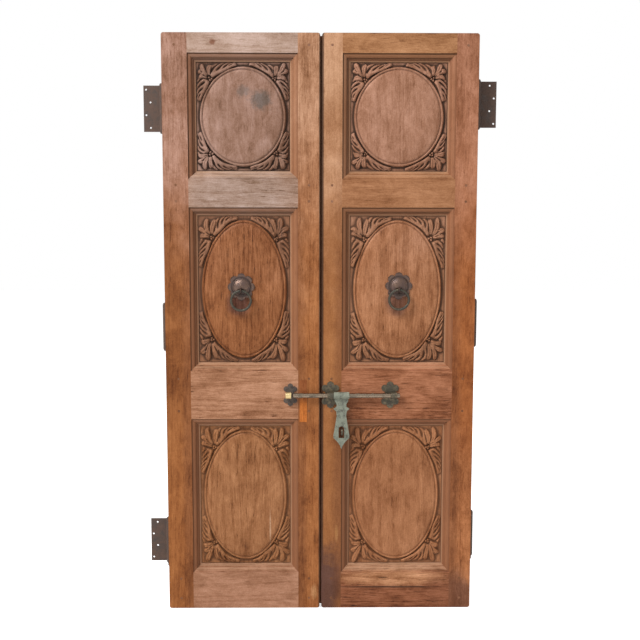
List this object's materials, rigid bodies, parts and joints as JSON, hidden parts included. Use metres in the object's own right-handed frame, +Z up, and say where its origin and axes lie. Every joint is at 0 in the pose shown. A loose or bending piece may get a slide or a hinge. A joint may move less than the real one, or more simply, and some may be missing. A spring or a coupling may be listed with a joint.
{
  "type": "raised panel door",
  "caption": "Pair of antique hardwood door leaves with carved oval panels, hinges, ring knockers and a sliding bolt with a padlock hasp.",
  "frame": {"origin": "bottom centre of the whole part's box: the foot of the leaves, midway between the hinge lines", "axes": "+Z up, front face towards -Y, +X to the right seen from the front"},
  "size_m": [1.24, 0.146, 2.05],
  "materials": {
    "frame_wood": "weathered, dry, worn edges",
    "panel_wood": "weathered carving with dark dirt in the hollows",
    "repair_wood": "newer orange wood, let in",
    "peg_wood": "dark end grain",
    "hinge_iron": "rusty",
    "keeper_iron": "dark, dull",
    "keeper_brass": "rubbed bright",
    "bolt_bronze": "dull, green in the hollows",
    "hasp_bronze": "pale green-grey patina",
    "knocker_bronze": "dark patina"
  },
  "bodies": {
    "jamb_side": {"left_low_jamb_plate": "hinge_iron", "left_mid_jamb_plate": "hinge_iron", "left_high_jamb_plate": "hinge_iron", "right_low_jamb_plate": "hinge_iron", "right_mid_jamb_plate": "hinge_iron", "right_high_jamb_plate": "hinge_iron", "left_pins": "hinge_iron", "right_pins": "hinge_iron"},
    "left_leaf": {"left_hinge_stile": "frame_wood", "left_meeting_stile": "frame_wood", "left_top_rail": "frame_wood", "left_second_rail": "frame_wood", "left_lock_rail": "frame_wood", "left_bottom_rail": "frame_wood", "left_upper_panel": "panel_wood", "left_middle_panel": "panel_wood", "left_lower_panel": "panel_wood", "left_pegs": "peg_wood", "left_repair": "repair_wood", "left_low_leaf_plate": "hinge_iron", "left_mid_leaf_plate": "hinge_iron", "left_high_leaf_plate": "hinge_iron", "left_hinge_screws": "hinge_iron", "keeper_plate": "keeper_iron", "keeper_tube": "keeper_brass", "left_plate_nails": "bolt_bronze", "left_rosette": "knocker_bronze"},
    "right_leaf": {"right_hinge_stile": "frame_wood", "right_meeting_stile": "frame_wood", "right_top_rail": "frame_wood", "right_second_rail": "frame_wood", "right_lock_rail": "frame_wood", "right_bottom_rail": "frame_wood", "right_upper_panel": "panel_wood", "right_middle_panel": "panel_wood", "right_lower_panel": "panel_wood", "right_pegs": "peg_wood", "right_low_leaf_plate": "hinge_iron", "right_mid_leaf_plate": "hinge_iron", "right_high_leaf_plate": "hinge_iron", "right_hinge_screws": "hinge_iron", "first_guide": "bolt_bronze", "end_guide": "bolt_bronze", "padlock_staple": "hasp_bronze", "right_plate_nails": "bolt_bronze", "right_rosette": "knocker_bronze"},
    "bolt": {"bolt_rod": "bolt_bronze"},
    "hasp": {"hasp": "hasp_bronze"},
    "left_ring": {"left_ring": "knocker_bronze"},
    "right_ring": {"right_ring": "knocker_bronze"}
  },
  "joints": [
    {"name": "left_leaf_swing", "type": "hinge", "parent": "jamb_side", "child": "left_leaf", "pos_m": [-0.556, 0.009, 0], "axis": [0, 0, 1], "range_deg": [0, 90]},
    {"name": "right_leaf_swing", "type": "hinge", "parent": "jamb_side", "child": "right_leaf", "pos_m": [0.556, 0.009, 0], "axis": [0, 0, -1], "range_deg": [0, 27]},
    {"name": "bolt_slide", "type": "slide", "parent": "right_leaf", "child": "bolt", "axis": [1, 0, 0], "range_m": [0, 0.11]},
    {"name": "hasp_swing", "type": "hinge", "parent": "bolt", "child": "hasp", "pos_m": [0.076, -0.0605, 0.79], "axis": [-1, 0, 0], "range_deg": [0, 100]},
    {"name": "left_ring_swing", "type": "hinge", "parent": "left_leaf", "child": "left_ring", "pos_m": [-0.279, -0.0544, 1.162], "axis": [-1, 0, 0], "range_deg": [0, 110]},
    {"name": "right_ring_swing", "type": "hinge", "parent": "right_leaf", "child": "right_ring", "pos_m": [0.278, -0.0544, 1.166], "axis": [-1, 0, 0], "range_deg": [0, 110]}
  ],
  "couplings": [
    {"joint": "right_leaf_swing", "follows": "left_leaf_swing", "ratio": 0.3},
    {"joint": "bolt_slide", "follows": "hasp_swing", "m_per_rad": 0.063025}
  ]
}
